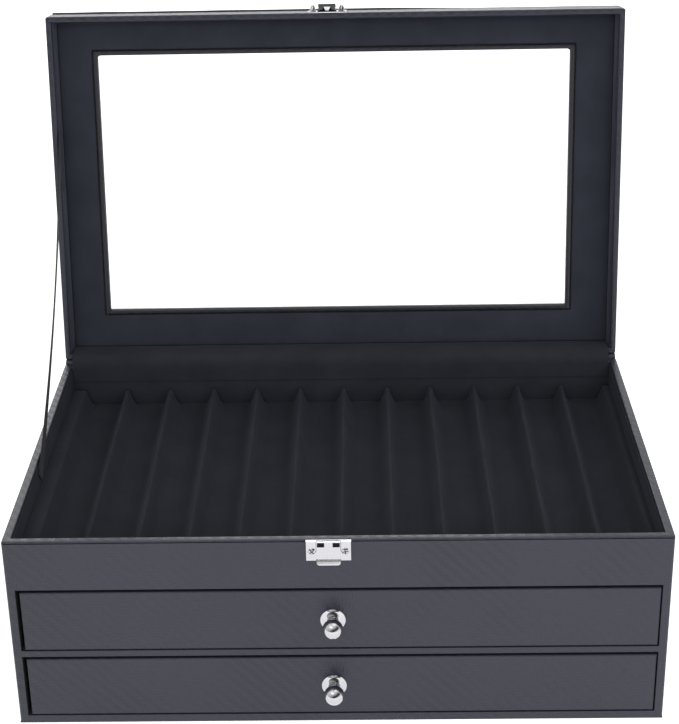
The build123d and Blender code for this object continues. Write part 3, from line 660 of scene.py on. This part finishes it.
def add_window_bead():
    """Rounded bead on the glass, between the velvet panel and the window's edge."""
    x, y = WINDOW_X, WINDOW_Y
    grown = ((x[0] - BEAD_WIDTH, x[1] + BEAD_WIDTH), (y[0] - BEAD_WIDTH, y[1] + BEAD_WIDTH))
    foot = GLASS_INSIDE - BEAD_OFF
    section = [(0.0, BEAD_CORNER, foot)]
    for step in range(1, BEAD_STEPS):
        angle = step * pi / BEAD_STEPS
        inset = BEAD_WIDTH * (1 - cos(angle)) / 2
        height = BEAD_HEIGHT * sin(angle) ** BEAD_FULLNESS
        section.append((inset, BEAD_CORNER + inset * BEAD_FLARE, foot - height))
    section.append((BEAD_WIDTH, BEAD_LAST_CORNER, foot))
    add_band("window_bead", *grown, section, open_lid(), "trim", "lid", BEAD_WAVE)


# Ribbon, and the cloth over the hinge gap: both cross the lid's hinge

def add_ribbon():
    """Satin stay ribbon from the tray's left wall to the lid's, taut, bowed a little and turned edge-on."""
    low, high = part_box("stay_ribbon")
    side = RIBBON_THICKNESS / 2
    tuck = Vector((0, 1, 1)) * (RIBBON_WIDTH / 2) * RIBBON_TUCK
    start = Vector((high.x - side, low.y, low.z)) + tuck
    end = Vector((low.x + side, high.y, high.z)) - tuck
    slope = Vector((0, high.y - low.y, high.z - low.z)).normalized()
    level = Vector((0, -slope.z, slope.y))
    centres, across, normals = [], [], []
    for n in range(RIBBON_STEPS + 1):
        share = n / RIBBON_STEPS
        bow = sin(pi * share)
        out = Matrix.Rotation(RIBBON_TURN * bow, 4, slope) @ level
        centres.append(start.lerp(end, share) + Vector((RIBBON_BOW * bow, 0, 0)))
        across.append(out)
        normals.append(out.cross(slope))
    mesh = thick_strip(centres, across, normals, RIBBON_WIDTH, RIBBON_THICKNESS)
    piece = new_piece("stay_ribbon_satin", mesh, "ribbon", None)
    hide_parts("stay_ribbon")
    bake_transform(piece)


def curved(rim, lid_start):
    """Points between the case's rim and the lid's, on a soft bend that ends level with the lid's."""
    corner = Vector((0, rim.y, lid_start.z))
    shares = [n / BEND_STEPS for n in range(1, BEND_STEPS)]
    return [rim * (1 - s) ** 2 + corner * 2 * s * (1 - s) + lid_start * s ** 2 for s in shares]


def hinge_cloth(name, path, x, columns, finish):
    """A strip along a path of (y, z) points over the hinge gap, a little rippled, as a stretched sheet."""
    side = HINGE_CLOTH / 2
    grain_across, grain_along = RIPPLE_GRAIN
    front, back = [], []
    for n, centre in enumerate(path):
        run = path[min(n + 1, len(path) - 1)] - path[max(n - 1, 0)]
        normal = Vector((0, run.z, -run.y)).normalized()
        front_row, back_row = [], []
        for column in range(columns + 1):
            across = x[0] + (x[1] - x[0]) * column / columns
            grain = Vector((across * grain_across, centre.y * grain_along, centre.z * grain_along))
            place = Vector((across, centre.y, centre.z)) + normal * (noise.noise(grain) * CLOTH_RIPPLE)
            front_row.append(place - normal * side)
            back_row.append(place + normal * side)
        front.append(front_row)
        back.append(back_row)
    mesh = grid_mesh(front + back[::-1], closed=True)
    fill_holes(mesh)
    piece = new_piece(name, mesh, finish, None)
    return piece


def add_hinge_strip():
    """Velvet strip glued inside both back walls, with a soft bend over the gap between the rims."""
    low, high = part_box("hinge_lining")
    side = HINGE_CLOTH / 2
    inner = Vector((0, low.y + side, low.z))
    rim = Vector((0, low.y + side, HINGE_Z - STRIP_RIM))
    lid_glued = Vector((0, high.y, high.z - side))
    lean = Vector((0, cos(LID_ANGLE - pi / 2), -sin(LID_ANGLE - pi / 2)))
    lid_start = lid_glued - lean * STRIP_ON_LID
    path = [inner, inner.lerp(rim, 0.5), rim, *curved(rim, lid_start)]
    path += [lid_start, lid_start.lerp(lid_glued, 0.5), lid_glued]
    piece = hinge_cloth("hinge_strip", path, (low.x, high.x), STRIP_COLUMNS, "velvet")
    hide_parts("hinge_lining")
    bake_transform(piece)


def add_hinge_tabs():
    """Leatherette tab at each end of the hinge, glued behind both back walls."""
    skin = CASE_BACK + HINGE_CLOTH / 2
    foot = Vector((0, skin, HINGE_Z - TAB_GLUED))
    rim = Vector((0, skin, HINGE_Z - TAB_RIM))
    opened = open_lid()
    lid_start = opened @ Vector((0, skin, LID_BOTTOM + TAB_RIM))
    lid_glued = opened @ Vector((0, skin, LID_BOTTOM + TAB_GLUED))
    path = [foot, foot.lerp(rim, 0.5), rim, *curved(rim, lid_start)]
    path += [lid_start, lid_start.lerp(lid_glued, 0.5), lid_glued]
    for name, x in (("hinge_tab_left", (-CASE_SIDE + TAB_NEAR, -CASE_SIDE + TAB_FAR)),
                    ("hinge_tab_right", (CASE_SIDE - TAB_FAR, CASE_SIDE - TAB_NEAR))):
        piece = hinge_cloth(name, path, x, TAB_COLUMNS, "leatherette")
        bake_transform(piece)


# Clasp: screw heads with a cross recess, and the keeper's pressed nose

def in_cross(u, v, turn, scale=(1.0, 1.0)):
    """Whether a spot of a screw's head lies in its cross recess, which is turned by an angle."""
    along = (u * cos(turn) + v * sin(turn)) * scale[0]
    across = (v * cos(turn) - u * sin(turn)) * scale[1]
    return min(abs(along), abs(across)) < CROSS_WIDTH / 2 and max(abs(along), abs(across)) < CROSS_ARM


def draw_head(mesh, centre, height, turn):
    """A domed head facing the front, with its cross recess sunk and given the second material, dark plating
    as painted shade.
    """
    x, y, z = centre
    rings = []
    for n in range(1, HEAD_RINGS + 1):
        radius = HEAD_RADIUS * (1 - (1 - n / HEAD_RINGS) ** HEAD_SPREAD)
        rise = height * (1 - (radius / HEAD_RADIUS) ** HEAD_DOME)
        ring = []
        for side in range(HEAD_SIDES):
            angle = 2 * pi * side / HEAD_SIDES
            u, v = radius * cos(angle), radius * sin(angle)
            sunk = CROSS_DEPTH if in_cross(u, v, turn) else 0.0
            ring.append(mesh.verts.new((x + u, y - rise + sunk, z + v)))
        rings.append(ring)
    base = [mesh.verts.new((v.co.x, y + HEAD_FOOT, v.co.z)) for v in rings[-1]]
    rings.append(base)
    middle = mesh.verts.new((x, y - height + CROSS_DEPTH, z))
    faces = []
    for n in range(HEAD_SIDES):
        after = (n + 1) % HEAD_SIDES
        faces.append(mesh.faces.new((middle, rings[0][n], rings[0][after])))
        for inner, outer in zip(rings, rings[1:]):
            faces.append(mesh.faces.new((inner[n], outer[n], outer[after], inner[after])))
    mesh.faces.new(base)
    for face in faces:
        spot = face.calc_center_median() - Vector(centre)
        if spot.y < 0 and in_cross(spot.x, spot.z, turn, CROSS_RIM):
            face.material_index = 1


def add_screw_heads(node, name, places, height, turns, body, place):
    """Screw heads as one piece, each with its cross recess turned by its own angle and painted dark as its
    shade.
    """
    mesh = bmesh.new()
    for centre, turn in zip(places, turns):
        draw_head(mesh, centre, height, turn)
    bmesh.ops.recalc_face_normals(mesh, faces=mesh.faces)
    if place:
        bmesh.ops.transform(mesh, matrix=place, verts=mesh.verts)
    piece = new_piece(name, mesh, "chrome", body)
    # the second material paints the shade in the recesses
    piece.data.materials.append(finishes["recess"])
    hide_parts(node)


def add_clasp_screws():
    """The latch's two screw heads on the case and the keeper's two on the lid, at the same distance."""
    low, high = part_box("latch_screws")
    offset = (high.x - low.x) / 2 - SCREW_HEAD_RADIUS
    middle_x, middle_z = (low.x + high.x) / 2, (low.z + high.z) / 2
    face = low.y + SCREW_HEAD
    places = [(middle_x - offset, face, middle_z), (middle_x + offset, face, middle_z)]
    add_screw_heads("latch_screws", "latch_screw_heads", places, LATCH_HEAD, LATCH_TURNS, "case", None)
    face = CASE_FRONT - KEEPER_SHEET
    height = KEEPER_Z + KEEPER_HEIGHT / 2
    places = [(middle_x - offset, face, height), (middle_x + offset, face, height)]
    add_screw_heads("keeper_screws", "keeper_screw_heads", places, KEEPER_HEAD, KEEPER_TURNS, "lid",
                    open_lid())


def add_keeper():
    """The keeper, its nose drawn out from the plate, its edges softened and its hollow painted dark as
    shade.
    """
    opened = open_lid()
    mesh = bmesh.new()
    mesh.from_mesh(nodes["keeper"].data)
    bmesh.ops.remove_doubles(mesh, verts=mesh.verts, dist=WELD)
    bmesh.ops.transform(mesh, matrix=opened.inverted() @ nodes["keeper"].matrix_world, verts=mesh.verts)
    bmesh.ops.dissolve_limit(mesh, angle_limit=FLAT_TURN, verts=mesh.verts, edges=mesh.edges)
    sheet_face = CASE_FRONT - KEEPER_SHEET
    for vertex in mesh.verts:
        if vertex.co.y < sheet_face - NOSE_FOOT:
            vertex.co.y = sheet_face + (vertex.co.y - sheet_face) * NOSE_STRETCH
    mesh.normal_update()
    bmesh.ops.bevel(mesh, geom=sharp_edges(mesh, KEEPER_SHARP), offset=KEEPER_ROUND, segments=2, profile=0.5,
                    affect="EDGES", clamp_overlap=True)
    cut_large_faces(mesh)
    reach = min(vertex.co.y for vertex in mesh.verts)
    # faces deep in the nose's hollow get the dark plating: painted shade
    for face in mesh.faces:
        spot = face.calc_center_median()
        deep = reach + HOLLOW_TIP < spot.y < sheet_face - HOLLOW_ROOT
        on_web = KEEPER_Z + WEB[0] < spot.z < KEEPER_Z + WEB[1]
        if deep and abs(spot.x - LATCH_X) < NOSE_HALF and not on_web:
            face.material_index = 1
    bmesh.ops.transform(mesh, matrix=opened, verts=mesh.verts)
    piece = new_piece("keeper_catch", mesh, "chrome", "lid")
    piece.data.materials.append(finishes["recess"])
    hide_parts("keeper")


def add_lid_seam():
    """Folded edge of the lid's top sheet, proud of the lid's front; it flattens to the right."""
    rows = []
    for n in range(SEAM_STEPS + 1):
        share = n / SEAM_STEPS
        x = -CASE_SIDE + SEAM_INSET + (2 * CASE_SIDE - 2 * SEAM_INSET) * n / SEAM_STEPS
        uneven = noise.noise(Vector((x * SEAM_GRAIN, 3.0, 7.0))) * SEAM_WAVE
        rise = max(SEAM_LEAST, SEAM_HEIGHT * min(1.0, (SEAM_END - share) * SEAM_FADE) + uneven)
        centre_z = LID_TOP - SEAM_DROP + uneven
        ring = []
        for side in range(SEAM_SIDES + 1):
            angle = 2 * pi * side / SEAM_SIDES
            ring.append(Vector((x, CASE_FRONT - rise * sin(angle), centre_z + SEAM_HALF * cos(angle))))
        rows.append(ring)
    mesh = grid_mesh(rows)
    bmesh.ops.remove_doubles(mesh, verts=mesh.verts, dist=FINE_WELD)
    fill_holes(mesh)
    bmesh.ops.transform(mesh, matrix=open_lid(), verts=mesh.verts)
    new_piece("lid_edge_seam", mesh, "trim", "lid")


# Camera, light and surroundings

def add_camera():
    """The photograph's view: a camera a little right of the middle, 0.55 m up and 0.83 m in front."""
    long_side = max(PHOTO_SIZE)
    data = bpy.data.cameras.new("camera")
    data.sensor_fit = "AUTO"
    data.sensor_width = SENSOR
    data.lens = FOCAL_PIXELS * SENSOR / long_side
    data.shift_x = (PHOTO_SIZE[0] / 2 - CENTRE_PIXELS[0]) / long_side
    data.shift_y = (CENTRE_PIXELS[1] - PHOTO_SIZE[1] / 2) / long_side
    camera = bpy.data.objects.new("camera", data)
    forward = Vector((sin(YAW) * cos(PITCH), cos(YAW) * cos(PITCH), -sin(PITCH)))
    level = Vector((cos(YAW), -sin(YAW), 0))
    above = level.cross(forward)
    right = level * cos(ROLL) + above * sin(ROLL)
    up = above * cos(ROLL) - level * sin(ROLL)
    turn = Matrix((right, up, -forward)).transposed().to_4x4()
    camera.matrix_world = Matrix.Translation(CAMERA_PLACE) @ turn
    bpy.context.scene.collection.objects.link(camera)
    bpy.context.scene.camera = camera


def area_light(name, place, target, size, power, mirrored):
    """A soft lamp facing its target; one that isn't mirrored lights plated metal without showing in it."""
    data = bpy.data.lights.new(name, "AREA")
    data.shape = "RECTANGLE"
    data.size, data.size_y = size
    data.energy = power
    light = bpy.data.objects.new(name, data)
    light.visible_glossy = mirrored
    light.location = place
    light.rotation_mode = "QUATERNION"
    light.rotation_quaternion = (Vector(target) - Vector(place)).to_track_quat("-Z", "Y")
    bpy.context.scene.collection.objects.link(light)


def shown_white(tree):
    """1 for the rays that should meet a plain white surrounding: seen, mirrored or through glass."""
    path = tree.add("ShaderNodeLightPath")
    seen = tree.math("MAXIMUM", path.outputs["Is Camera Ray"], path.outputs["Is Glossy Ray"])
    return tree.math("MAXIMUM", seen, path.outputs["Is Transmission Ray"])


def add_world():
    """Even fill light, white where it is seen; metal also mirrors the dim far end of the room."""
    world = bpy.data.worlds.new("studio")
    bpy.context.scene.world = world
    tree = Tree(world)
    place = tree.add("ShaderNodeTexCoord").outputs["Generated"]
    sideways, ahead, height = tree.add("ShaderNodeSeparateXYZ", {0: place}).outputs
    rise = tree.math("SUBTRACT", height, tree.math("MULTIPLY", sideways, ROOM_TILT))
    dim = tree.math("MULTIPLY", tree.ramp(rise, -0.03, 0.03), tree.ramp(rise, 0.8, 0.35))
    dim = tree.math("MULTIPLY", dim, tree.ramp(sideways, -1.1, -0.1))
    dim = tree.math("MULTIPLY", dim, tree.ramp(ahead, 0.3, -0.3))
    dim = tree.math("MULTIPLY", dim, tree.add("ShaderNodeLightPath").outputs["Is Glossy Ray"])
    level = tree.math("SUBTRACT", 1.0, tree.math("MULTIPLY", dim, ROOM_DIM))
    fill = tree.add("ShaderNodeBackground", {"Color": (0.93, 0.95, 1.0, 1.0), "Strength": FILL_LIGHT})
    white = tree.add("ShaderNodeBackground", {"Color": (1.0, 1.0, 1.0, 1.0), "Strength": level})
    mixed = tree.add("ShaderNodeMixShader", {0: shown_white(tree), 1: fill.outputs[0], 2: white.outputs[0]})
    tree.add("ShaderNodeOutputWorld", {"Surface": mixed.outputs[0]})


def add_floor():
    """Pale paper under the chest, white where it is seen, which keeps the shadow."""
    mesh = bmesh.new()
    bmesh.ops.create_grid(mesh, x_segments=1, y_segments=1, size=FLOOR_HALF)
    data = bpy.data.meshes.new("floor")
    mesh.to_mesh(data)
    mesh.free()
    floor = bpy.data.objects.new("floor", data)
    floor.location.z = -FLOOR_DROP
    bpy.context.scene.collection.objects.link(floor)
    made, tree = material("floor_paper")
    soft = tree.noise(tree.place(), scale=300.0)
    paper = tree.add("ShaderNodeBsdfDiffuse", {
        "Color": (0.93, 0.93, 0.93, 1.0), "Normal": tree.bump(soft, distance=0.05 * MM, strength=0.2),
    })
    glow = tree.add("ShaderNodeEmission", {"Strength": tree.math("MULTIPLY", shown_white(tree), FLOOR_GLOW)})
    both = tree.add("ShaderNodeAddShader", {0: paper.outputs[0], 1: glow.outputs[0]})
    tree.add("ShaderNodeOutputMaterial", {"Surface": both.outputs[0]})
    data.materials.append(made)


dress_nodes()
add_camera()
add_world()
add_floor()
for lamp in LAMPS:
    area_light(*lamp)
bpy.context.scene.view_settings.view_transform = "Standard"

add_padding("tray_padding", "tray_ribs", "tray_pad", "case", TRAY_SHIFT)
for tier in ("upper_drawer", "lower_drawer"):
    add_padding(f"{tier}_padding", f"{tier}_ribs", f"{tier}_pad", tier, 0.0)
    soft_copy(f"{tier}_lining", f"{tier}_velvet_wall", tier, 0.2 * MM, 0.06 * MM)
soft_copy("tray_lining", "tray_velvet_wall", "case", 0.25 * MM, 0.08 * MM)
# the lid's linings take the velvet painted lighter, as painted light
soft_copy("lid_wall_lining", "lid_velvet_wall", "lid", 0.2 * MM, 0.06 * MM, "lid_velvet_painted_light")
soft_copy("lid_lining_panel", "lid_velvet_panel", "lid", 0.8 * MM, 0.12 * MM, "lid_velvet_painted_light")
add_rims()
add_window_bead()
add_ribbon()
add_hinge_strip()
add_hinge_tabs()
add_clasp_screws()
add_keeper()
add_lid_seam()
